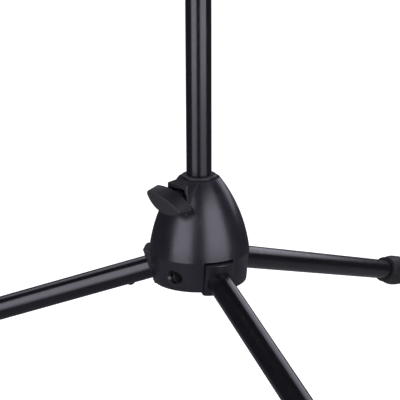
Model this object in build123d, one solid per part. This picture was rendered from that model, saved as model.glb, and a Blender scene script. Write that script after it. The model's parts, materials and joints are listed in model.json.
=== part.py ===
from build123d import *
import os
from math import cos, radians, sin, sqrt

os.makedirs("parts", exist_ok=True)

# A music stand on a folding three-leg base. Millimetres, +Z up.
# The origin is on the floor, on the pole's axis. The desk faces -Y.

# Tubes
pole_d = 20.0
pole_wall = 1.5
pole_length = 540.0
upper_d = 16.0
upper_wall = 1.2
upper_length = 520.0
upper_insertion = 160.0     # length of upper tube inside the lower one, as stored
leg_d = 19.0
leg_wall = 1.2

# Fits
slide_clearance = 0.06      # radial, tube in bush
pivot_clearance = 0.05      # radial, shank in hole
pocket_clearance = 0.1
screw_clearance = 0.3       # radial, clamp screw and pad in their windows
bay_clearance = 0.15        # each side of a shoe in the carrier
window_clearance = 0.5      # each side of a shoe in the skirt
eye_clearance = 1.0         # from a shoe's eye to the carrier's sleeve
carrier_gap = 0.4           # from the carrier to the skirt
ring_gap = 0.2              # from the stop ring to the carrier
pad_gap = 0.1               # from a clamp's pad to its tube
washer_gap = 0.1
tilt_washer_gap = 0.05

# Legs
leg_azimuths = {"right": 30.0, "left": 150.0, "front": 270.0}
leg_slope = 18.16           # degrees below horizontal, opened
leg_run = 340.3             # from the pivot to the tip of the foot, along the tube
leg_lift = 1.94             # the tube's axis passes this far above its pivot

# Feet
foot_length = 33.0
foot_wall = 5.5             # rubber outside the tube, at its thickest
foot_rim_wall = 3.2
foot_rim_edge = 0.8
foot_rim_length = 3.0
foot_swell_length = 18.0    # from the rim to full width
foot_nose_wall = 1.5
foot_nose_round = 5.0
foot_sole_depth = 4.7       # how much of the round foot is cut flat by the floor
foot_end_wall = 8.0

# Leg shoes
shoe_cheek = 2.2            # each side of the tube
shoe_top = 12.7             # flat top, above the pivot
shoe_below = 2.3            # below the tube
shoe_reach = 17.4           # from the pivot to the end face, along the tube
shoe_eye_r = 9.4
shoe_edge_r = 1.0           # along the end face's top
shoe_corner_r = 2.0         # down the end face's sides
shoe_end_r = 36.0           # the end face bulges outwards on this radius
shoe_socket = 6.0           # length of tube held inside the end face
spigot_length = 34.0
rivet_d = 4.0
rivet_head_d = 7.5
rivet_head_h = 1.4
rivet_grip = 2.0            # how far a leg rivet bites into the spigot

# Hub housing, heights above the leg pivots
skirt_bottom = -10.9
nut_gap = 0.05              # from a leg nut's outer corner to the skirt
crease_step = 2.25          # from the skirt's foot out to the crease
crease_h = 13.1
rim_h = 72.2
rim_ledge = 2.4             # from the guide bush's flange out to the rim
dome_bulge_r = 120.0        # radius of the dome's outline
shell_wall = 2.8
window_lift = 0.5           # above the crease
collar_depth = 27.0
collar_wall = 2.6
post_r = 4.5
access_d = 11.0
bush_wall = 3.1
bush_flange_lip = 0.9
bush_flange_h = 2.4
bush_flange_edge_r = 1.5

# Clamp boss and clamp
hub_boss_azimuth = 210.0
boss_reach = 18.2           # from the pole to the boss's front
boss_draft = 0.8            # how much further out the front is at its foot
boss_width = 19.6
boss_depth = 27.0
boss_edge_r = 1.2
recess_depth = 7.0
recess_top_width = 13.6
recess_low_width = 18.0
recess_roof = 3.4
recess_floor = 17.7         # below the boss's top
clamp_drop = 10.7           # from the boss's top down to the clamp screw
screw_d = 6.0
nut_across = 10.0
nut_h = 5.0
pad_r = 4.2
pad_h = 2.6
clamp_pitch = 1.0           # travel of a clamp screw in one turn
clamp_turns = 1.5           # turns from clamped to loose
neck_d = 12.0
neck_gap = 1.4              # from the recess's floor to the knob's neck
wing_span = 37.4            # from tip to tip at the back
wing_face_span = 33.4       # and at the outer face
wing_depth = 13.1
wing_top = 6.8              # bow above the screw's axis at the back
wing_face_top = 3.9         # and at the outer face
wing_low = 8.1              # bow below the screw's axis, all the way out
wing_tip_r = 3.2
wing_face_tip_r = 2.4
wing_edge_r = 0.6
wing_standoff = 4.9         # from the boss's front to the wing
wing_turn = -22.0
screw_bite = 9.0            # into the wing

# Leg carrier, heights above the leg pivots
carrier_bottom = -9.8
carrier_top = 17.7
carrier_roof = 3.2
sleeve_wall = 2.5
bolt_d = 6.0
bolt_head_d = 10.0
bolt_head_h = 4.0
bolt_cheek = 5.0            # carrier wall between a leg's bay and its bolt's head
hex_key = 5.0
hex_key_floor = 1.2
carrier_screw_reach = 8.5   # from the sleeve to the screw's axis
carrier_screw_d = 3.6
carrier_screw_head_d = 7.0
carrier_screw_head_h = 2.4
carrier_screw_bite = 9.0
cross_depth = 1.4

# Pole ends
ring_wall = 1.5
ring_h = 6.0
plug_lip = 1.0
plug_wall = 2.0
plug_flange_h = 3.0
plug_depth = 16.0

# Height clamp at the top of the lower tube
clutch_wall = 5.5           # outside the lower tube
clutch_foot_wall = 2.6
clutch_foot_h = 4.0
clutch_swell_h = 13.0       # from the body's foot up to its full width
clutch_round = 8.0          # height of the rounded shoulder
clutch_round_in = 4.5
clutch_lip = 2.5            # closes over the bush
clutch_below = 26.0
clutch_above = 28.0
clutch_bush_wall = 2.8
clutch_boss_reach = 18.5    # from the upper tube to the boss's front
clutch_boss_slope = 40.0    # degrees, under the boss
clutch_azimuth = 90.0
clutch_clamp_h = 14.0       # clamp screw above the lower tube's end
clutch_mouth_gap = 0.4

# Tilt head and its bolt
head_lip = 1.6
head_collar_h = 6.0
head_rise = 21.0            # from the tube's end up to the tilt bolt
head_eye_r = 11.0
head_eye_width = 14.0
head_rivet_drop = 8.0
tilt_bolt_d = 8.0
bolt_dome_r = 8.5
bolt_dome_h = 3.2
washer_h = 1.0
washer_inset = 1.0
tilt_washer_r = 9.0
tilt_washer_h = 1.6
tilt_boss_r = 8.0
tilt_boss_h = 9.0
insert_wall = 1.6
tilt_wing_turn = 60.0

# Desk
desk_width = 480.0
desk_height = 330.0
desk_below = 145.0          # from the tilt bolt down to the shelf
desk_lean = 20.0
desk_offset = 24.0          # from the tilt bolt to the back of the panel
desk_skin = 1.2
desk_rim = 10.0
desk_corner_r = 24.0
hole_d = 11.0
hole_pitch = 40.0
hole_row_step = 36.0
hole_lift = 8.0             # the pattern's middle above the panel's
hole_columns = 11
hole_rows = 7
shelf_depth = 50.0          # clear, from the flange to the lip
shelf_skin = 1.2
shelf_lip = 17.0
shelf_flange = 22.0
shelf_rivet_h = 12.0
shelf_rivet_step = 80.0
lip_corner_r = 8.0
bracket_width = 58.0
bracket_height = 70.0
bracket_skin = 2.5
bracket_corner_r = 6.0
bracket_rivet_inset = (8.0, 9.0)
ear_foot_depth = 8.0
ear_foot_height = 48.0
desk_rivet_d = 4.0
desk_rivet_head_r = 4.0
desk_rivet_head_h = 1.5
desk_rivet_tail_r = 3.0
desk_rivet_tail_h = 1.2

# Worked out from the sizes above
slope_sin = sin(radians(leg_slope))
slope_cos = cos(radians(leg_slope))
pole_r = pole_d / 2
upper_r = upper_d / 2
leg_r = leg_d / 2
foot_r = leg_r + foot_wall
pin_z = leg_run * slope_sin - leg_lift * slope_cos + foot_r * slope_cos - foot_sole_depth
sleeve_r = pole_r + sleeve_wall
pin_radius = sleeve_r + eye_clearance + shoe_eye_r
bush_r = pole_r + bush_wall
bush_flange_r = bush_r + bush_flange_lip
rim_r = bush_flange_r + rim_ledge
boss_front = pole_r + boss_reach
skirt_z = pin_z + skirt_bottom
crease_z = pin_z + crease_h
rim_z = pin_z + rim_h
clamp_z = rim_z - clamp_drop
shoe_width = leg_d + 2 * shoe_cheek
shoe_foot = leg_lift - leg_r - shoe_below
bay_width = shoe_width + 2 * bay_clearance
window_width = shoe_width + 2 * window_clearance
seat_y = bay_width / 2 + bolt_cheek
bolt_end_y = seat_y + nut_h
nut_corner_x = pin_radius + nut_across / sqrt(3)
nut_corner_r = sqrt(nut_corner_x ** 2 + bolt_end_y ** 2)
skirt_flare = crease_step * skirt_bottom / (skirt_bottom - crease_h)
skirt_r = nut_corner_r + nut_gap + shell_wall - skirt_flare
crease_r = skirt_r + crease_step
carrier_r = skirt_r - shell_wall - carrier_gap
carrier_z = pin_z + carrier_bottom
carrier_top_z = pin_z + carrier_top
carrier_screw_radius = sleeve_r + carrier_screw_reach
pole_bottom = carrier_z - ring_gap - ring_h
pole_top = pole_bottom + pole_length
upper_bottom = pole_top - upper_insertion
upper_top = upper_bottom + upper_length
tilt_z = upper_top + head_rise
clutch_r = pole_r + clutch_wall
clutch_foot_r = pole_r + clutch_foot_wall
clutch_low = pole_top - clutch_below
clutch_high = pole_top + clutch_above
clutch_bush_r = upper_r + clutch_bush_wall
clutch_boss_front = upper_r + clutch_boss_reach
clutch_clamp_z = pole_top + clutch_clamp_h
head_collar_r = upper_r + head_lip
ear_inner = head_eye_width / 2 + washer_h + washer_gap
ear_outer = ear_inner + bracket_skin
knob_x = ear_outer + tilt_washer_h
tilt_wing_x = knob_x + tilt_boss_h
post_azimuths = [azimuth + 60 for azimuth in leg_azimuths.values()]

# Half way round a quarter turn, as a share of its radius in from the corner
bend = 1 - cos(radians(45))

# Cutting tools run past what they cut: a little, or clean through
past = 1.0
far = 60.0

ON_BOTTOM = (Align.CENTER, Align.CENTER, Align.MIN)


# Building blocks

def rod(radius, low, high):
    return Pos(0, 0, low) * Cylinder(radius, high - low, align=ON_BOTTOM)


def ring(outer, inner, low, high):
    return rod(outer, low, high) - rod(inner, low - past, high + past)


def rod_x(radius, low, high):
    return Rot(0, 90, 0) * rod(radius, low, high)


def rod_y(radius, low, high):
    return Rot(-90, 0, 0) * rod(radius, low, high)


def block(x, y, z):
    """A box from three (low, high) pairs."""
    size = Box(x[1] - x[0], y[1] - y[0], z[1] - z[0], align=(Align.MIN,) * 3)
    return Pos(x[0], y[0], z[0]) * size


def hex_x(across, low, high):
    section = Plane.YZ * RegularPolygon(across / 2, 6, major_radius=False)
    return Pos(low, 0, 0) * extrude(section, high - low)


def hex_y(across, low, high):
    return Rot(0, 0, 90) * hex_x(across, low, high)


def turned(*outline):
    """A solid turned about Z from edges drawn as (radius, height)."""
    return revolve(Plane.XZ * make_face(list(outline)), Axis.Z)


def dome_nut(radius, height, low):
    """A low domed rivet or bolt head whose flat side is at low."""
    ball_r = (radius ** 2 + height ** 2) / (2 * height)
    ball = Pos(0, 0, low + height - ball_r) * Sphere(ball_r)
    return ball & rod(radius + past, low, low + height + past)


def seated_head(radius, height, tube_r):
    """A domed head standing out along X, its underside filled down to a tube."""
    sunk = tube_r - sqrt(tube_r ** 2 - radius ** 2)
    return Rot(0, 90, 0) * dome_nut(radius, height + sunk, tube_r - sunk)


def save(name, shape):
    export_step(shape, f"parts/{name}.step")


# Hub housing

def dome_centre():
    """Centre of the dome's outline, drawn as (radius, height)."""
    dr = rim_r - crease_r
    dz = rim_z - crease_z
    half = sqrt(dr ** 2 + dz ** 2) / 2
    reach = sqrt(dome_bulge_r ** 2 - half ** 2)
    middle = ((rim_r + crease_r) / 2, (rim_z + crease_z) / 2)
    return middle[0] - reach * dz / (2 * half), middle[1] + reach * dr / (2 * half)


def dome_radius(z, inset=0.0):
    centre = dome_centre()
    return centre[0] + sqrt((dome_bulge_r - inset) ** 2 - (z - centre[1]) ** 2)


def dome_solid(inset, foot_z, top_z):
    """The dome and skirt turned solid, drawn in by inset."""
    foot = (skirt_r - inset, foot_z)
    crease = (dome_radius(crease_z, inset), crease_z)
    middle_z = (crease_z + top_z) / 2
    middle = (dome_radius(middle_z, inset), middle_z)
    top = (dome_radius(top_z, inset), top_z)
    skirt = Polyline((0, top_z), (0, foot_z), foot, crease)
    arc = ThreePointArc(crease, middle, top)
    cap = Line(top, (0, top_z))
    return turned(skirt, arc, cap)


def boss_block():
    low = rim_z - boss_depth
    foot = (boss_front + boss_draft, low)
    side = Polyline((0, low), foot, (boss_front, rim_z), (0, rim_z), close=True)
    body = extrude(Plane.XZ * make_face([side]), boss_width / 2, both=True)
    front = body.faces().sort_by(Axis.X)[-1]
    upright = [edge for edge in front.edges() if abs(edge.center().Y) > boss_width / 4]
    return fillet(upright, boss_edge_r)


def recess_cut(front, top, floor):
    """The hollow in a boss's front, wider at its foot."""
    outline = Polyline(
        (-recess_top_width / 2, top),
        (recess_top_width / 2, top),
        (recess_low_width / 2, floor),
        (-recess_low_width / 2, floor),
        close=True,
    )
    face = Plane.YZ * make_face([outline])
    return Pos(front - recess_depth, 0, 0) * extrude(face, recess_depth + far)


def nut_start(tube_r):
    """The nut stands clear of the pad when the clamp is fully loose."""
    return tube_r + pad_gap + pad_h + clamp_pitch * clamp_turns + pocket_clearance


def nut_pocket(tube_r, z):
    """A hexagonal pocket that opens towards the pole, and the screw's way out."""
    low = nut_start(tube_r)
    pocket = hex_x(nut_across + 2 * pocket_clearance, tube_r, low + nut_h + pocket_clearance)
    way_out = rod_x(screw_d / 2 + screw_clearance, low, low + far)
    return Pos(0, 0, z) * (pocket + way_out)


def leg_window():
    """The slot in the skirt that a leg's shoe stands in, open at the bottom."""
    half = window_width / 2
    return block((pin_radius, crease_r + past), (-half, half), (skirt_z - past, crease_z + window_lift))


def access_hole():
    """The way in for a leg bolt's head, through the skirt and the carrier."""
    return Pos(pin_radius, 0, pin_z) * rod_y(access_d / 2, -far, -seat_y)


def post_places():
    return [Rot(0, 0, azimuth) * Pos(carrier_screw_radius, 0, 0) for azimuth in post_azimuths]


def hub_housing():
    outer = dome_solid(0, skirt_z, rim_z)
    boss = Rot(0, 0, hub_boss_azimuth) * boss_block()
    hollow = dome_solid(shell_wall, skirt_z - past, rim_z - shell_wall)
    inside = rod(bush_r + collar_wall, rim_z - collar_depth, rim_z)
    for place in post_places():
        inside = inside + place * rod(post_r, carrier_top_z, rim_z)
    shell = outer - hollow + (outer & inside) + boss
    shell = shell - rod(bush_r, skirt_z, rim_z + past)
    turn = Rot(0, 0, hub_boss_azimuth)
    shell = shell - turn * recess_cut(boss_front, rim_z - recess_roof, rim_z - recess_floor)
    shell = shell - turn * nut_pocket(pole_r, clamp_z)
    for azimuth in leg_azimuths.values():
        shell = shell - Rot(0, 0, azimuth) * leg_window()
        shell = shell - Rot(0, 0, azimuth) * access_hole()
    for place in post_places():
        bite_top = carrier_top_z + carrier_screw_bite
        shell = shell - place * rod(carrier_screw_d / 2, carrier_top_z - past, bite_top)
    return shell


def guide_bush():
    low = rim_z - collar_depth
    flange = rod(bush_flange_r, rim_z, rim_z + bush_flange_h)
    flange = fillet(flange.edges().group_by(Axis.Z)[-1], bush_flange_edge_r)
    bore = rod(pole_r + slide_clearance, low - past, rim_z + bush_flange_h + past)
    bush = rod(bush_r, low, rim_z) + flange - bore
    return bush - Rot(0, 0, hub_boss_azimuth) * pad_window(clamp_z, bush_r)


def pad_window(z, wall_r):
    """The hole in a bush that a clamp's pad works in."""
    return Pos(0, 0, z) * rod_x(pad_r + screw_clearance, 0, wall_r + past)


# Leg carrier and its fasteners

def leg_bay():
    half = bay_width / 2
    roof = carrier_top_z - carrier_roof
    bay = block((0, carrier_r + past), (-half, half), (carrier_z - past, roof))
    return bay - rod(sleeve_r, carrier_z - 2 * past, roof + past)


def bolt_cuts():
    """The way through the carrier for one leg's bolt, its head and its nut."""
    shank = rod_y(bolt_d / 2, -seat_y - past, seat_y + past)
    nut = hex_y(nut_across + 2 * pocket_clearance, seat_y, far)
    return Pos(pin_radius, 0, pin_z) * (shank + nut) + access_hole()


def leg_carrier():
    body = rod(carrier_r, carrier_z, carrier_top_z)
    for azimuth in leg_azimuths.values():
        body = body - Rot(0, 0, azimuth) * leg_bay()
        body = body - Rot(0, 0, azimuth) * bolt_cuts()
    for place in post_places():
        body = body - place * rod(carrier_screw_d / 2, carrier_z - past, carrier_top_z + past)
        head_z = carrier_z + carrier_screw_head_h
        body = body - place * rod(carrier_screw_head_d / 2 + pocket_clearance, carrier_z - past, head_z)
    return body - rod(pole_r + slide_clearance, carrier_z - past, carrier_top_z + past)


def cross_slot(radius, low, depth):
    """A cross recess cut upwards from low, in proportion to the head."""
    bar = Box(1.6 * radius, 0.35 * radius, depth, align=ON_BOTTOM)
    return Pos(0, 0, low) * (bar + Rot(0, 0, 90) * bar)


def carrier_screw():
    """One screw, standing head down on the Z axis."""
    head = rod(carrier_screw_head_d / 2, carrier_z, carrier_z + carrier_screw_head_h)
    tip = carrier_top_z + carrier_screw_bite
    screw = head + rod(carrier_screw_d / 2, carrier_z, tip)
    return screw - cross_slot(carrier_screw_head_d / 2, carrier_z, cross_depth)


def leg_bolt():
    shank = rod_y(bolt_d / 2, -seat_y, bolt_end_y)
    head = rod_y(bolt_head_d / 2, -seat_y - bolt_head_h, -seat_y)
    socket = hex_y(hex_key, -seat_y - bolt_head_h, -seat_y - hex_key_floor)
    return Pos(pin_radius, 0, pin_z) * (shank + head - socket)


def leg_nut():
    nut = hex_y(nut_across, seat_y, seat_y + nut_h)
    return Pos(pin_radius, 0, pin_z) * (nut - rod_y(bolt_d / 2, 0, bolt_end_y + past))


# Legs. Each is drawn with its tube along X, the pivot at the origin.

def leg_place(azimuth):
    return Rot(0, 0, azimuth) * Pos(pin_radius, 0, pin_z) * Rot(0, leg_slope, 0)


def level(along, up):
    """A point along and above the tube's slope, in level axes about the pivot."""
    return along * slope_cos + up * slope_sin, up * slope_cos - along * slope_sin


def tube_start():
    return shoe_reach - shoe_socket


def tube_end():
    return leg_run - foot_end_wall


def on_tube(shape):
    return Pos(0, 0, leg_lift) * shape


def leg_tube():
    tube = rod_x(leg_r, tube_start(), tube_end()) - rod_x(leg_r - leg_wall, 0, leg_run)
    return on_tube(tube) - rivet_shank()


def rivet_x():
    return tube_start() + spigot_length * 0.75


def rivet_shank():
    """From inside its head, up through the tube's wall and into the spigot."""
    low = leg_lift - leg_r
    return Pos(rivet_x(), 0, 0) * rod(rivet_d / 2, low - rivet_head_h / 2, low + leg_wall + rivet_grip)


def leg_rivet():
    head = Pos(rivet_x(), 0, leg_lift) * Rot(0, 90, 0) * seated_head(rivet_head_d / 2, rivet_head_h, leg_r)
    return (head - on_tube(rod_x(leg_r, 0, leg_run))) + rivet_shank()


def shoe_block():
    """The shoe's side view in level axes, drawn across its whole width."""
    top_u = shoe_reach
    top_v = (shoe_top + top_u * slope_sin) / slope_cos
    outline = Polyline(
        (0, shoe_eye_r),
        (shoe_edge_r, shoe_top),
        level(top_u, top_v),
        level(top_u, shoe_foot),
        level(0, -shoe_eye_r),
        close=True,
    )
    face = Plane.XZ * make_face([outline])
    body = extrude(face, shoe_width / 2, both=True)
    corner = body.edges().filter_by(Axis.Y).sort_by(Axis.X)[-1]
    body = fillet(corner, shoe_edge_r)
    return body + rod_y(shoe_eye_r, -shoe_width / 2, shoe_width / 2)


def shoe_plan():
    """The shoe's outline seen square to the tube, its end face bulging outwards."""
    back = -shoe_eye_r - past
    sides = Pos(back, 0) * Rectangle(shoe_reach - back, shoe_width, align=(Align.MIN, Align.CENTER))
    bulge = Pos(shoe_reach - shoe_end_r, 0) * Circle(shoe_end_r)
    plan = sides & bulge
    plan = fillet(plan.vertices().group_by(Axis.X)[-1], shoe_corner_r)
    return extrude(plan, 2 * shoe_width, both=True)


def leg_shoe():
    body = Rot(0, -leg_slope, 0) * shoe_block() & shoe_plan()
    spigot_end = tube_start() + spigot_length
    socket = rod_x(leg_r, tube_start(), spigot_end)
    spigot = rod_x(leg_r - leg_wall, tube_start(), spigot_end)
    body = body - on_tube(socket) + on_tube(spigot)
    pivot = rod_y(bolt_d / 2 + pivot_clearance, -shoe_width, shoe_width)
    return body - pivot - rivet_shank()


def leg_foot():
    rim = leg_run - foot_length
    collar = rim + foot_rim_length
    middle = rim + foot_swell_length
    nose = leg_run - foot_nose_round
    collar_r = leg_r + foot_rim_wall
    nose_r = leg_r + foot_nose_wall
    cheek = (leg_run - foot_nose_round * bend, foot_r - (foot_r - nose_r) * bend)
    lip = Polyline(
        (rim, 0),
        (rim, collar_r - foot_rim_edge),
        (rim + foot_rim_edge, collar_r),
        (collar, collar_r),
    )
    swell = Spline((collar, collar_r), (middle, foot_r), tangents=((1, 0), (1, 0)))
    side = Line((middle, foot_r), (nose, foot_r))
    round_over = ThreePointArc((nose, foot_r), cheek, (leg_run, nose_r))
    end = Polyline((leg_run, nose_r), (leg_run, 0), (rim, 0))
    body = revolve(make_face([lip, swell, side, round_over, end]), Axis.X)
    return on_tube(body - rod_x(leg_r, rim - past, tube_end()))


def floor_cut():
    half = 2 * leg_run
    return block((-half, half), (-half, half), (-far, 0))


# Clamps. Each is drawn with its screw along X, pointing out from the tube's axis.

def clamp_pad(tube_r):
    return rod_x(pad_r, tube_r + pad_gap, tube_r + pad_gap + pad_h)


def neck_start(front):
    return front - recess_depth + neck_gap


def wing_start(front):
    return front + wing_standoff


def clamp_screw(tube_r, front):
    return rod_x(screw_d / 2, tube_r + pad_gap + pad_h, wing_start(front) + screw_bite)


def clamp_nut(tube_r):
    low = nut_start(tube_r)
    nut = hex_x(nut_across, low, low + nut_h)
    return nut - rod_x(screw_d / 2 + pivot_clearance, low - past, low + nut_h + past)


def bow_radius(span, rise, tip_r):
    """Radius of the arc that rises by rise and meets tips of radius tip_r."""
    tip = span / 2 - tip_r
    return (tip ** 2 + rise ** 2 - tip_r ** 2) / (2 * (rise - tip_r))


def leaf(span, top, low, tip_r):
    """A leaf outline, span long from tip to tip, its tips rounded."""
    top_r = bow_radius(span, top, tip_r)
    low_r = bow_radius(span, low, tip_r)
    outline = (Pos(0, top - top_r) * Circle(top_r)) & (Pos(0, low_r - low) * Circle(low_r))
    return fillet(outline.vertices(), tip_r)


def wing(start):
    """A leaf-shaped grip across X, its upper side drafted outwards."""
    back = leaf(wing_span, wing_top, wing_low, wing_tip_r)
    face = leaf(wing_face_span, wing_face_top, wing_low, wing_face_tip_r)
    body = loft([Plane.YZ.offset(start) * back, Plane.YZ.offset(start + wing_depth) * face])
    return fillet(body.edges().group_by(Axis.X)[-1], wing_edge_r)


def clamp_knob(tube_r, front):
    start = wing_start(front)
    neck = rod_x(neck_d / 2, neck_start(front), start + past)
    knob = Rot(wing_turn, 0, 0) * wing(start) + neck
    return knob - clamp_screw(tube_r, front)


# Pole

def stop_ring():
    return ring(pole_r + ring_wall, pole_r + slide_clearance, pole_bottom, pole_bottom + ring_h)


def lower_tube():
    return ring(pole_r, pole_r - pole_wall, pole_bottom, pole_top)


def lower_plug():
    bore_r = pole_r - pole_wall
    flange = rod(pole_r + plug_lip, pole_bottom - plug_flange_h, pole_bottom)
    return flange + ring(bore_r, bore_r - plug_wall, pole_bottom, pole_bottom + plug_depth)


def clutch_shape():
    """The clutch's outside, turned solid."""
    neck = (clutch_foot_r, clutch_low + clutch_foot_h)
    chest = (clutch_r, clutch_low + clutch_swell_h)
    shoulder = (clutch_r, clutch_high - clutch_round)
    brow = (clutch_r - clutch_round_in * bend, clutch_high - clutch_round * bend)
    crown = (clutch_r - clutch_round_in, clutch_high)
    foot = Polyline((0, clutch_high), (0, clutch_low), (clutch_foot_r, clutch_low), neck)
    swell = Spline(neck, chest, tangents=((0, 1), (0, 1)))
    side = Line(chest, shoulder)
    round_over = ThreePointArc(shoulder, brow, crown)
    return turned(foot, swell, side, round_over, Line(crown, (0, clutch_high)))


def clutch_boss():
    """The clamp's boss with its recess, sloped away underneath."""
    top = clutch_clamp_z + clamp_drop
    low = top - boss_depth
    half = boss_width / 2
    boss = block((0, clutch_boss_front), (-half, half), (low, top))
    slope = Pos(clutch_r, 0, low) * Rot(0, clutch_boss_slope, 0)
    boss = boss - slope * block((0, far), (-boss_width, boss_width), (-far, 0))
    boss = fillet(boss.edges().filter_by(Axis.Z), boss_edge_r)
    return boss - recess_cut(clutch_boss_front, top - recess_roof, top - recess_floor)


def clutch_body():
    turn = Rot(0, 0, clutch_azimuth)
    body = clutch_shape() + turn * clutch_boss()
    body = body - rod(pole_r, clutch_low - past, pole_top)
    body = body - rod(clutch_bush_r, pole_top - past, clutch_high - clutch_lip)
    body = body - rod(upper_r + clutch_mouth_gap, pole_top, clutch_high + past)
    body = body - turn * nut_pocket(upper_r, clutch_clamp_z)
    return body - clutch_rivet_hole()


def clutch_bush():
    bush = ring(clutch_bush_r, upper_r + slide_clearance, pole_top, clutch_high - clutch_lip)
    return bush - Rot(0, 0, clutch_azimuth) * pad_window(clutch_clamp_z, clutch_bush_r)


def clutch_rivet_place():
    return Rot(0, 0, clutch_azimuth + 180) * Pos(0, 0, pole_top - clutch_below / 3)


def clutch_rivet_hole():
    return clutch_rivet_place() * rod_x(rivet_d / 2, 0, clutch_r + past)


def clutch_rivet():
    shank = clutch_rivet_place() * rod_x(rivet_d / 2, pole_r - pole_wall, clutch_r)
    head = clutch_rivet_place() * seated_head(rivet_head_d / 2, rivet_head_h, clutch_r)
    return shank + (head - rod(clutch_r, clutch_low, pole_top))


def lower_tube_drilled():
    return lower_tube() - clutch_rivet_hole()


# Upper pole

def glide_bush():
    bore_r = pole_r - pole_wall
    low = upper_bottom - plug_flange_h
    cap = rod(bore_r - slide_clearance, low, upper_bottom)
    return cap + rod(upper_r - upper_wall - slide_clearance, low, upper_bottom + plug_depth)


def upper_tube():
    tube = ring(upper_r, upper_r - upper_wall, upper_bottom, upper_top)
    return tube - head_rivet_shank()


def head_rivet_place():
    return Rot(0, 0, 90) * Pos(0, 0, upper_top - head_rivet_drop)


def head_rivet_shank():
    return head_rivet_place() * rod_x(rivet_d / 2, upper_r - upper_wall - rivet_grip, upper_r + past)


def head_rivet():
    head = head_rivet_place() * seated_head(rivet_head_d / 2, rivet_head_h, upper_r)
    tube = rod(upper_r, upper_bottom, upper_top)
    return (head_rivet_shank() & tube) + (head - tube)


def tilt_head():
    plug = rod(upper_r - upper_wall, upper_top - plug_depth, upper_top)
    collar = rod(head_collar_r, upper_top, upper_top + head_collar_h)
    half = head_eye_width / 2
    neck = block((-half, half), (-upper_r, upper_r), (upper_top, tilt_z))
    neck = neck & rod(head_collar_r, upper_top, tilt_z)
    eye = Pos(0, 0, tilt_z) * rod_x(head_eye_r, -half, half)
    bolt = Pos(0, 0, tilt_z) * rod_x(tilt_bolt_d / 2 + pivot_clearance, -far, far)
    return plug + collar + neck + eye - bolt - head_rivet_shank()


# Desk. Drawn upright about the tilt bolt, then leant back.

def desk_place():
    return Pos(0, 0, tilt_z) * Rot(-desk_lean, 0, 0)


def panel_face(width, height, corner_r):
    """The panel's outline from the front, its lower corners square."""
    low = -desk_below
    body = Pos(0, low + height / 2) * Rectangle(width, height)
    return fillet(body.vertices().group_by(Axis.Y)[-1], corner_r)


def hole_spots():
    """Staggered rows of round holes, centred on the panel."""
    middle = desk_height / 2 - desk_below + hole_lift
    spots = []
    for row in range(hole_rows):
        shift = hole_pitch / 2 if row % 2 else 0
        z = middle + (row - (hole_rows - 1) / 2) * hole_row_step
        for column in range(hole_columns - (row % 2)):
            x = (column - (hole_columns - 1) / 2) * hole_pitch + shift
            spots.append((x, z))
    return spots


def behind_bracket(x, z):
    half_w = bracket_width / 2 + hole_d
    half_h = bracket_height / 2 + hole_d
    return abs(x) < half_w and abs(z) < half_h


def desk_panel():
    outer = panel_face(desk_width, desk_height, desk_corner_r)
    inner_w = desk_width - 2 * desk_skin
    inner = panel_face(inner_w, desk_height - desk_skin, desk_corner_r - desk_skin)
    holes = [Pos(x, z) * Circle(hole_d / 2) for x, z in hole_spots() if not behind_bracket(x, z)]
    skin = outer - holes
    front = Plane.XZ.offset(desk_offset)
    sheet = extrude(front * skin, desk_skin)
    rim = extrude(front * (outer - inner), -(desk_rim - desk_skin))
    panel = sheet + rim
    panel = panel - rivet_holes(shelf_rivet_spots()) - rivet_holes(bracket_rivet_spots())
    return desk_place() * panel


def shelf_rivet_spots():
    return [(index * shelf_rivet_step, shelf_rivet_h - desk_below) for index in range(-2, 3)]


def bracket_rivet_spots():
    x = bracket_width / 2 - bracket_rivet_inset[0]
    z = bracket_height / 2 - bracket_rivet_inset[1]
    return [(sx * x, sz * z) for sx in (-1, 1) for sz in (-1, 1)]


def rivet_holes(spots):
    reach = desk_offset + far
    return [Pos(x, 0, z) * rod_y(desk_rivet_d / 2, -reach, desk_rim - desk_offset) for x, z in spots]


def desk_rivet(x, z, front, back):
    """A rivet through the panel and the sheet on it, its head in front."""
    shank = rod_y(desk_rivet_d / 2, front, back)
    head = Pos(0, front, 0) * Rot(90, 0, 0) * dome_nut(desk_rivet_head_r, desk_rivet_head_h, 0)
    tail = rod_y(desk_rivet_tail_r, back, back + desk_rivet_tail_h)
    return Pos(x, 0, z) * (shank + head + tail)


def desk_shelf():
    back = -desk_offset - desk_skin
    front = back - shelf_depth - 2 * shelf_skin
    top = -desk_below
    outline = Polyline(
        (back, top + shelf_flange),
        (back - shelf_skin, top + shelf_flange),
        (back - shelf_skin, top),
        (front + shelf_skin, top),
        (front + shelf_skin, top + shelf_lip),
        (front, top + shelf_lip),
        (front, top - shelf_skin),
        (back, top - shelf_skin),
        close=True,
    )
    half = desk_width / 2 - desk_skin
    face = Plane.YZ * make_face([outline])
    shelf = Pos(-half, 0, 0) * extrude(face, 2 * half)
    across = shelf.edges().filter_by(Axis.Y)
    lip_ends = [e for e in across if e.center().Z > top + shelf_skin and e.center().Y < front + shelf_skin]
    shelf = fillet(lip_ends, lip_corner_r)
    return desk_place() * (shelf - rivet_holes(shelf_rivet_spots()))


def bracket_ear(side):
    inner = min(side * ear_inner, side * ear_outer)
    outer = max(side * ear_inner, side * ear_outer)
    plate = block((inner, outer), (-desk_offset, 0), (-head_eye_r, head_eye_r))
    nose = rod_x(head_eye_r, inner, outer)
    half = ear_foot_height / 2
    flare = block((inner, outer), (-desk_offset, ear_foot_depth - desk_offset), (-half, half))
    return plate + nose + flare


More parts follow.
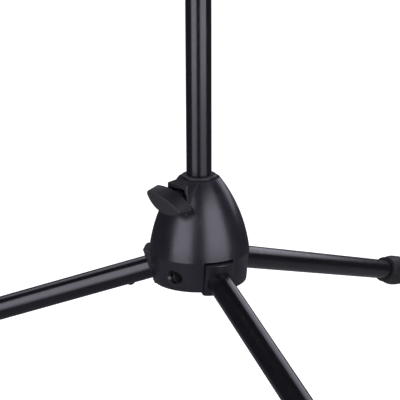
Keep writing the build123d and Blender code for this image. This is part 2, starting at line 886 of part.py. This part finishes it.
def desk_bracket():
    plate = block(
        (-bracket_width / 2, bracket_width / 2),
        (-desk_offset, -desk_offset + bracket_skin),
        (-bracket_height / 2, bracket_height / 2),
    )
    plate = fillet(plate.edges().filter_by(Axis.Y), bracket_corner_r)
    bracket = plate + bracket_ear(1) + bracket_ear(-1) - rod_x(tilt_bolt_d / 2, -far, far)
    return desk_place() * (bracket - rivet_holes(bracket_rivet_spots()))


def tilt_bolt():
    shank = rod_x(tilt_bolt_d / 2, -ear_outer, tilt_wing_x)
    head = Pos(-ear_outer, 0, 0) * Rot(0, -90, 0) * dome_nut(bolt_dome_r, bolt_dome_h, 0)
    return desk_place() * (shank + head)


def friction_washers():
    half = head_eye_width / 2
    inner = tilt_bolt_d / 2 + pivot_clearance
    washer = Rot(0, 90, 0) * ring(head_eye_r - washer_inset, inner, half, half + washer_h)
    return [Pos(0, 0, tilt_z) * washer, Pos(0, 0, tilt_z) * Rot(0, 0, 180) * washer]


def tilt_washer():
    inner = tilt_bolt_d / 2 + pivot_clearance
    start = ear_outer + tilt_washer_gap
    return desk_place() * (Rot(0, 90, 0) * ring(tilt_washer_r, inner, start, knob_x))


def tilt_insert():
    """The threaded brass insert that the tilt knob is moulded round."""
    inner = tilt_bolt_d / 2 + pivot_clearance
    return desk_place() * (Rot(0, 90, 0) * ring(inner + insert_wall, inner, knob_x, tilt_wing_x))


def tilt_knob():
    boss = rod_x(tilt_boss_r, knob_x, tilt_wing_x)
    bore = rod_x(tilt_bolt_d / 2 + pivot_clearance + insert_wall, knob_x - past, tilt_wing_x)
    knob = boss + Rot(tilt_wing_turn, 0, 0) * wing(tilt_wing_x)
    return desk_place() * (knob - bore)


# Writing the parts

def save_hub():
    save("hub_housing", hub_housing())
    save("leg_carrier", leg_carrier())
    save("guide_bush", guide_bush())
    turn = Rot(0, 0, hub_boss_azimuth) * Pos(0, 0, clamp_z)
    save("clamp_nut", turn * clamp_nut(pole_r))
    save("hub_pad", turn * clamp_pad(pole_r))
    save("hub_screw", turn * clamp_screw(pole_r, boss_front))
    save("hub_knob", turn * clamp_knob(pole_r, boss_front))
    around = [Rot(0, 0, azimuth) for azimuth in leg_azimuths.values()]
    save("leg_bolts", Compound(children=[turn * leg_bolt() for turn in around]))
    save("leg_nuts", Compound(children=[turn * leg_nut() for turn in around]))
    save("carrier_screws", Compound(children=[place * carrier_screw() for place in post_places()]))


def save_legs():
    for side, azimuth in leg_azimuths.items():
        place = leg_place(azimuth)
        save(f"{side}_leg_tube", place * leg_tube())
        save(f"{side}_leg_shoe", place * leg_shoe())
        save(f"{side}_leg_rivet", place * leg_rivet())
        save(f"{side}_leg_foot", place * leg_foot() - floor_cut())


def save_pole():
    save("stop_ring", stop_ring())
    save("lower_tube", lower_tube_drilled())
    save("lower_plug", lower_plug())
    save("clutch_body", clutch_body())
    save("clutch_bush", clutch_bush())
    save("clutch_rivet", clutch_rivet())
    turn = Rot(0, 0, clutch_azimuth) * Pos(0, 0, clutch_clamp_z)
    save("clutch_nut", turn * clamp_nut(upper_r))
    save("clutch_pad", turn * clamp_pad(upper_r))
    save("clutch_screw", turn * clamp_screw(upper_r, clutch_boss_front))
    save("clutch_knob", turn * clamp_knob(upper_r, clutch_boss_front))
    save("glide_bush", glide_bush())
    save("upper_tube", upper_tube())
    save("head_rivet", head_rivet())
    save("tilt_head", tilt_head())


def save_desk():
    save("desk_panel", desk_panel())
    save("desk_shelf", desk_shelf())
    save("desk_bracket", desk_bracket())
    face = -desk_offset - desk_skin
    shelf = [desk_rivet(x, z, face - shelf_skin, -desk_offset) for x, z in shelf_rivet_spots()]
    save("shelf_rivets", desk_place() * Compound(children=shelf))
    bracket = [desk_rivet(x, z, face, -desk_offset + bracket_skin) for x, z in bracket_rivet_spots()]
    save("bracket_rivets", desk_place() * Compound(children=bracket))
    save("tilt_bolt", tilt_bolt())
    save("friction_washers", Compound(children=friction_washers()))
    save("tilt_washer", tilt_washer())
    save("tilt_insert", tilt_insert())
    save("tilt_knob", tilt_knob())


save_hub()
save_legs()
save_pole()
save_desk()
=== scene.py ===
import json
import math

import bpy
from mathutils import Matrix, Vector

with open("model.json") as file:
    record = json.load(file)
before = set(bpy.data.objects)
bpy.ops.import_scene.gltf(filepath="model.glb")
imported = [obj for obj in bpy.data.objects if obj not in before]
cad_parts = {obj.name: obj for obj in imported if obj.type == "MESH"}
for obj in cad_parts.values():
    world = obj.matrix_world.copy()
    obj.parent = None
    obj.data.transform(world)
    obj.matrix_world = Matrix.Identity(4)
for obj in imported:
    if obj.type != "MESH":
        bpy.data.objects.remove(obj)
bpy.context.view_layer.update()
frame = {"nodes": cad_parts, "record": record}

# A black music stand on a folding three-leg base, in metres.
nodes = frame["nodes"]
slots = {row["node"]: row["material_slot"] for row in frame["record"]["subparts"]}

# The camera stands in front of the base, to the left of the front leg, and looks down at the hub.
CAMERA_DISTANCE = 0.9367
CAMERA_SIDE = 0.0007
CAMERA_HEIGHT = 0.4356
CAMERA_YAW = math.radians(66.72)
CAMERA_PITCH = math.radians(16.01)
CAMERA_ROLL = math.radians(-0.233)
CAMERA_LENS = 110.8
SENSOR = 36.0
CAMERA_CLIP_END = 50.0


def level_axes():
    """Straight ahead of the camera and to its right, both level."""
    ahead = Vector((math.cos(CAMERA_YAW), math.sin(CAMERA_YAW), 0.0))
    across = Vector((math.sin(CAMERA_YAW), -math.cos(CAMERA_YAW), 0.0))
    return ahead, across


def camera_axes():
    """The camera's right, up and forward directions."""
    ahead, across = level_axes()
    forward = math.cos(CAMERA_PITCH) * ahead - Vector((0, 0, math.sin(CAMERA_PITCH)))
    upward = math.sin(CAMERA_PITCH) * ahead + Vector((0, 0, math.cos(CAMERA_PITCH)))
    right = math.cos(CAMERA_ROLL) * across + math.sin(CAMERA_ROLL) * upward
    up = -math.sin(CAMERA_ROLL) * across + math.cos(CAMERA_ROLL) * upward
    return right, up, forward


def add_camera():
    right, up, forward = camera_axes()
    ahead, across = level_axes()
    place = -CAMERA_DISTANCE * ahead + CAMERA_SIDE * across + Vector((0, 0, CAMERA_HEIGHT))
    data = bpy.data.cameras.new("camera")
    data.sensor_width = SENSOR
    data.lens = CAMERA_LENS
    data.clip_end = CAMERA_CLIP_END
    camera = bpy.data.objects.new("camera", data)
    turn = Matrix((right, up, -forward)).transposed()
    camera.matrix_world = Matrix.Translation(place) @ turn.to_4x4()
    bpy.context.scene.collection.objects.link(camera)
    bpy.context.scene.camera = camera


add_camera()


# Studio

# A floor that glows evenly, so that it looks white, just below the feet
FLOOR_SIZE = 60.0
FLOOR_DROP = 0.0005
FLOOR_GREY = 0.4
FLOOR_GLOW = 1.05
FLOOR_ROUGHNESS = 0.9
FLOOR_SPECULAR = 0.1

# The room's light by the height of a ray's direction, from -1, straight down, to 1
ROOM_LIGHT_BELOW = -0.45
ROOM_DARK_ABOVE = -0.22
ROOM_LOW = 0.2
ROOM_HIGH = 0.05
ROOM_TINT = (0.88, 0.88, 1.0)

# Each softbox: bearing, reach from the pole, lowest and highest z, width and radiance
SOFTBOX_TINT = (0.88, 0.86, 1.0)
SOFTBOXES = {
    "left_softbox": (-40.5, 0.85, 0.10, 0.95, 0.70, 3.9),
    "left_softbox_foot": (-40.5, 0.86, -0.12, 0.10, 0.70, 2.0),
    "right_softbox": (42.5, 0.85, 0.10, 0.95, 0.88, 3.8),
    "right_softbox_foot": (42.5, 0.86, -0.12, 0.10, 0.88, 1.4),
    "back_left_softbox": (-148.0, 1.5, 0.9, 2.2, 1.5, 1.6),
    "back_right_softbox": (142.0, 1.5, 0.3, 2.2, 1.3, 1.7),
}


def add_floor():
    bpy.ops.mesh.primitive_plane_add(size=FLOOR_SIZE, location=(0, 0, -FLOOR_DROP))
    floor = bpy.context.object
    floor.name = "floor"
    material = bpy.data.materials.new("studio_floor")
    material.use_nodes = True
    shader = material.node_tree.nodes["Principled BSDF"]
    shader.inputs["Base Color"].default_value = (FLOOR_GREY, FLOOR_GREY, FLOOR_GREY, 1)
    shader.inputs["Roughness"].default_value = FLOOR_ROUGHNESS
    shader.inputs["Specular IOR Level"].default_value = FLOOR_SPECULAR
    shader.inputs["Emission Color"].default_value = (1, 1, 1, 1)
    shader.inputs["Emission Strength"].default_value = FLOOR_GLOW
    floor.data.materials.append(material)
    floor.visible_glossy = False


def softbox(name, bearing, reach, low, high, width, radiance):
    """A rectangular light that faces the pole.

    Its bearing is in degrees, anticlockwise from the camera's side of the stand.
    """
    angle = CAMERA_YAW + math.pi + math.radians(bearing)
    data = bpy.data.lights.new(name, "AREA")
    data.shape = "RECTANGLE"
    data.size = width
    data.size_y = high - low
    data.energy = radiance * math.pi * width * (high - low)
    data.color = SOFTBOX_TINT
    light = bpy.data.objects.new(name, data)
    centre_z = (low + high) / 2
    place = Vector((reach * math.cos(angle), reach * math.sin(angle), centre_z))
    light.location = place
    aim = Vector((0, 0, centre_z)) - place
    light.rotation_euler = aim.to_track_quat("-Z", "Y").to_euler()
    light.visible_camera = False
    bpy.context.scene.collection.objects.link(light)


def add_world():
    """White to the camera; to the object a dim room, a little lighter below."""
    world = bpy.data.worlds.new("studio")
    bpy.context.scene.world = world
    world.use_nodes = True
    tree = world.node_tree
    background = tree.nodes["Background"]
    background.inputs["Color"].default_value = (1, 1, 1, 1)
    dim = tree.nodes.new("ShaderNodeBackground")
    dim.inputs["Color"].default_value = (*ROOM_TINT, 1)
    place = tree.nodes.new("ShaderNodeTexCoord")
    split = tree.nodes.new("ShaderNodeSeparateXYZ")
    ramp = tree.nodes.new("ShaderNodeMapRange")
    ramp.inputs["From Min"].default_value = ROOM_LIGHT_BELOW
    ramp.inputs["From Max"].default_value = ROOM_DARK_ABOVE
    ramp.inputs["To Min"].default_value = ROOM_LOW
    ramp.inputs["To Max"].default_value = ROOM_HIGH
    tree.links.new(place.outputs["Generated"], split.inputs[0])
    tree.links.new(split.outputs["Z"], ramp.inputs["Value"])
    tree.links.new(ramp.outputs["Result"], dim.inputs["Strength"])
    rays = tree.nodes.new("ShaderNodeLightPath")
    mix = tree.nodes.new("ShaderNodeMixShader")
    tree.links.new(rays.outputs["Is Camera Ray"], mix.inputs["Fac"])
    tree.links.new(dim.outputs[0], mix.inputs[1])
    tree.links.new(background.outputs[0], mix.inputs[2])
    tree.links.new(mix.outputs[0], tree.nodes["World Output"].inputs["Surface"])


add_floor()
add_world()
for softbox_name, setting in SOFTBOXES.items():
    softbox(softbox_name, *setting)


# Materials

# Noise stays mostly between these two values, so a spread runs from one to the other
NOISE_LOW = 0.3
NOISE_HIGH = 0.7
BEVEL_SAMPLES = 6

# How far a coated or moulded surface gets glossier and duller than its roughness
GLOSSIER = 0.03
DULLER = 0.05


class Shader:
    """A Principled material whose detail comes from the object's own coordinates."""

    def __init__(self, name, colour, roughness, metallic=0.0, specular=0.5):
        self.material = bpy.data.materials.new(name)
        self.material.use_nodes = True
        self.tree = self.material.node_tree
        self.shader = self.tree.nodes["Principled BSDF"]
        self.shader.inputs["Metallic"].default_value = metallic
        self.shader.inputs["Specular IOR Level"].default_value = specular
        self.place = self.node("ShaderNodeTexCoord").outputs["Object"]
        self.colour = colour
        self.shader.inputs["Base Color"].default_value = (*colour, 1)
        self.shader.inputs["Roughness"].default_value = roughness
        self.bump_from = None

    def node(self, kind, **inputs):
        node = self.tree.nodes.new(kind)
        for key, value in inputs.items():
            node.inputs[key.replace("_", " ")].default_value = value
        return node

    def link(self, source, target):
        self.tree.links.new(source, target)

    def noise(self, size, detail=3.0, stretch=None):
        """Noise whose lumps are about size metres across."""
        noise = self.node("ShaderNodeTexNoise", Scale=1.0 / size, Detail=detail)
        source = self.place
        if stretch:
            mapping = self.node("ShaderNodeMapping")
            mapping.inputs["Scale"].default_value = stretch
            self.link(source, mapping.inputs["Vector"])
            source = mapping.outputs["Vector"]
        self.link(source, noise.inputs["Vector"])
        return noise.outputs["Fac"]

    def spread(self, source, low, high):
        """Spreads a noise over the range from low to high."""
        ramp = self.node("ShaderNodeMapRange")
        ramp.inputs["From Min"].default_value = NOISE_LOW
        ramp.inputs["From Max"].default_value = NOISE_HIGH
        ramp.inputs["To Min"].default_value = low
        ramp.inputs["To Max"].default_value = high
        self.link(source, ramp.inputs["Value"])
        return ramp.outputs["Result"]

    def vary_colour(self, source, other):
        mix = self.node("ShaderNodeMix")
        mix.data_type = "RGBA"
        mix.inputs["A"].default_value = (*self.colour, 1)
        mix.inputs["B"].default_value = (*other, 1)
        self.link(source, mix.inputs["Factor"])
        self.link(mix.outputs["Result"], self.shader.inputs["Base Color"])

    def vary_roughness(self, source):
        self.link(source, self.shader.inputs["Roughness"])

    def soften(self, radius):
        """Makes sharp edges catch the light as if rounded; relief comes after it."""
        edges = self.node("ShaderNodeBevel", Radius=radius)
        edges.samples = BEVEL_SAMPLES
        self.bump_from = edges.outputs["Normal"]

    def bump(self, source, height):
        """Adds relief of about height metres."""
        bump = self.node("ShaderNodeBump", Strength=1.0, Distance=height)
        self.link(source, bump.inputs["Height"])
        if self.bump_from:
            self.link(self.bump_from, bump.inputs["Normal"])
        self.bump_from = bump.outputs["Normal"]
        self.link(self.bump_from, self.shader.inputs["Normal"])


def moulded_plastic(name, colour, other, roughness, grain=0.0006, relief=0.00002):
    """Satin black nylon with a spark-eroded grain and faint flow marks."""
    edge_radius = 0.0005
    flow_marks = 0.03
    gloss_patches = 0.012
    m = Shader(name, colour, roughness)
    m.soften(edge_radius)
    m.vary_colour(m.spread(m.noise(flow_marks), 0.0, 1.0), other)
    gloss = m.noise(gloss_patches, detail=4.0)
    m.vary_roughness(m.spread(gloss, roughness - GLOSSIER, roughness + DULLER))
    m.bump(m.noise(grain, detail=2.0), relief)
    return m.material


def powder_coat(name, colour, other, roughness, peel=0.0012, relief=0.000012):
    """Baked powder on steel: a slight orange peel and small changes of gloss."""
    colour_patches = 0.05
    gloss_patches = 0.006
    m = Shader(name, colour, roughness)
    m.vary_colour(m.spread(m.noise(colour_patches), 0.0, 1.0), other)
    gloss = m.noise(gloss_patches, detail=4.0)
    m.vary_roughness(m.spread(gloss, roughness - GLOSSIER, roughness + DULLER))
    m.bump(m.noise(peel, detail=2.0), relief)
    return m.material


def rubber(name, colour, other):
    """Matt moulded rubber with a fine grain and slightly uneven black."""
    colour_patches, dull_patches = 0.008, 0.004
    roughness, smoothest, roughest = 0.62, 0.55, 0.72
    grain, relief = 0.0007, 0.00004
    m = Shader(name, colour, roughness, specular=0.4)
    m.vary_colour(m.spread(m.noise(colour_patches, detail=5.0), 0.0, 1.0), other)
    m.vary_roughness(m.spread(m.noise(dull_patches), smoothest, roughest))
    m.bump(m.noise(grain), relief)
    return m.material


def bare_metal(name, colour, other, roughness):
    """Plated or turned metal with fine lines and a little staining."""
    stains, wear = 0.004, 0.002
    glossier, duller = 0.06, 0.1
    lines, relief = 0.0004, 0.000006
    lines_round_z = (1, 1, 6)
    m = Shader(name, colour, roughness, metallic=1.0)
    m.vary_colour(m.spread(m.noise(stains, detail=4.0), 0.0, 1.0), other)
    m.vary_roughness(m.spread(m.noise(wear), roughness - glossier, roughness + duller))
    m.bump(m.noise(lines, detail=2.0, stretch=lines_round_z), relief)
    return m.material


# Each slot: its maker, its colour and second colour, its roughness and, where given, grain and relief
SLOTS = {
    "hub_plastic": (moulded_plastic, (0.006, 0.0055, 0.009), (0.009, 0.0085, 0.012), 0.29),
    "core_nylon": (moulded_plastic, (0.004, 0.004, 0.005), (0.007, 0.007, 0.008), 0.5),
    "shoe_plastic": (moulded_plastic, (0.005, 0.005, 0.007), (0.008, 0.0075, 0.010), 0.34),
    "clutch_plastic": (moulded_plastic, (0.007, 0.0065, 0.009), (0.010, 0.009, 0.012), 0.33),
    "knob_plastic": (moulded_plastic, (0.004, 0.004, 0.005), (0.008, 0.008, 0.009), 0.42, 0.0009, 0.00005),
    "black_coat": (powder_coat, (0.003, 0.003, 0.004), (0.005, 0.005, 0.007), 0.2),
    "desk_coat": (powder_coat, (0.010, 0.010, 0.011), (0.014, 0.014, 0.016), 0.42, 0.0008, 0.00005),
    "head_casting": (powder_coat, (0.010, 0.010, 0.011), (0.014, 0.014, 0.016), 0.36, 0.0010, 0.00005),
    "foot_rubber": (rubber, (0.006, 0.006, 0.007), (0.011, 0.011, 0.012)),
    "zinc_steel": (bare_metal, (0.60, 0.61, 0.63), (0.50, 0.51, 0.54), 0.28),
    "black_steel": (bare_metal, (0.012, 0.012, 0.014), (0.022, 0.022, 0.025), 0.45),
    "brass": (bare_metal, (0.70, 0.52, 0.24), (0.58, 0.41, 0.18), 0.3),
}
materials = {slot: maker(slot, *looks) for slot, (maker, *looks) in SLOTS.items()}


def dress_nodes():
    for name, node in nodes.items():
        node.data.materials.clear()
        node.data.materials.append(materials[slots[name]])


dress_nodes()

view = bpy.context.scene.view_settings
view.view_transform = "Standard"
